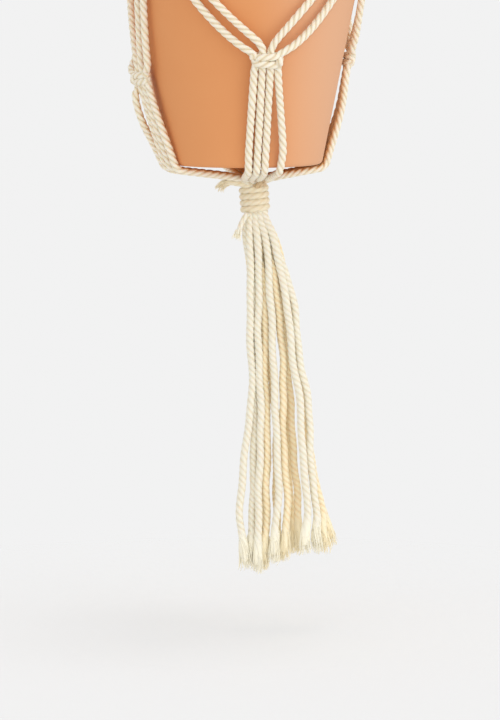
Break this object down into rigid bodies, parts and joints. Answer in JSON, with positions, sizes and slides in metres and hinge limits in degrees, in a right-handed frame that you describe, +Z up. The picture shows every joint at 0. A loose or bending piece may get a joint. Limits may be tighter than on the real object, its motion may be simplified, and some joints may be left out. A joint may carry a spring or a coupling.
{
  "type": "hanging macrame planter",
  "caption": "Tapered terracotta flowerpot carried in a knotted cotton cord hanger, with a wooden ring above and a bound tassel of frayed strands below.",
  "frame": {"origin": "lowest point of the inside of the ring's top, where a hook bears", "axes": "+Z up along the hang, -Y towards the pictured front, +X to the right seen from the front"},
  "size_m": [0.1523, 0.147, 0.7175],
  "materials": {
    "cord": "matte",
    "binding_cord": "matte",
    "terracotta": "matte",
    "ring_wood": "satin"
  },
  "bodies": {
    "ring": {"hanging_ring": "ring_wood"},
    "loops": {"ring_fold_cords": "cord", "top_gather": "cord", "top_wrap": "binding_cord"},
    "hanger": {"front_left_leg_cords": "cord", "front_left_knot": "cord", "front_right_leg_cords": "cord", "front_right_knot": "cord", "back_right_leg_cords": "cord", "back_right_knot": "cord", "back_left_leg_cords": "cord", "back_left_knot": "cord", "front_net_left_cords": "cord", "front_net_right_cords": "cord", "front_knot": "cord", "front_cradle_cords": "cord", "right_net_left_cords": "cord", "right_net_right_cords": "cord", "right_knot": "cord", "right_cradle_cords": "cord", "back_net_left_cords": "cord", "back_net_right_cords": "cord", "back_knot": "cord", "back_cradle_cords": "cord", "left_net_left_cords": "cord", "left_net_right_cords": "cord", "left_knot": "cord", "left_cradle_cords": "cord", "bottom_gather": "cord", "bottom_wrap": "binding_cord", "upper_wrap_tail": "binding_cord"},
    "pot": {"pot": "terracotta"},
    "tassel": {"tassel_neck": "cord", "lower_wrap_tail": "binding_cord", "tassel_strand_01": "cord", "tassel_strand_02": "cord", "tassel_strand_03": "cord", "tassel_strand_04": "cord", "tassel_strand_05": "cord", "tassel_strand_06": "cord", "tassel_strand_07": "cord", "tassel_strand_08": "cord", "tassel_strand_09": "cord", "tassel_strand_10": "cord", "tassel_strand_11": "cord", "tassel_strand_12": "cord", "tassel_strand_13": "cord", "tassel_strand_14": "cord", "tassel_strand_15": "cord", "tassel_strand_16": "cord"}
  },
  "joints": [
    {"name": "hanger_swing", "type": "hinge", "parent": "ring", "child": "loops", "pos_m": [0, 0, -0.052], "axis": [1, 0, 0], "range_deg": [-20, 20]},
    {"name": "hanger_twist", "type": "hinge", "parent": "loops", "child": "hanger", "pos_m": [0, 0, -0.1206], "axis": [0, 0, 1], "range_deg": [-45, 45]},
    {"name": "pot_turn", "type": "hinge", "parent": "hanger", "child": "pot", "pos_m": [0, 0, -0.46142], "axis": [0, 0, 1], "continuous": true},
    {"name": "tassel_swing", "type": "hinge", "parent": "hanger", "child": "tassel", "pos_m": [0.005, 0, -0.4981], "axis": [0, 1, 0], "range_deg": [-25, 25]}
  ]
}
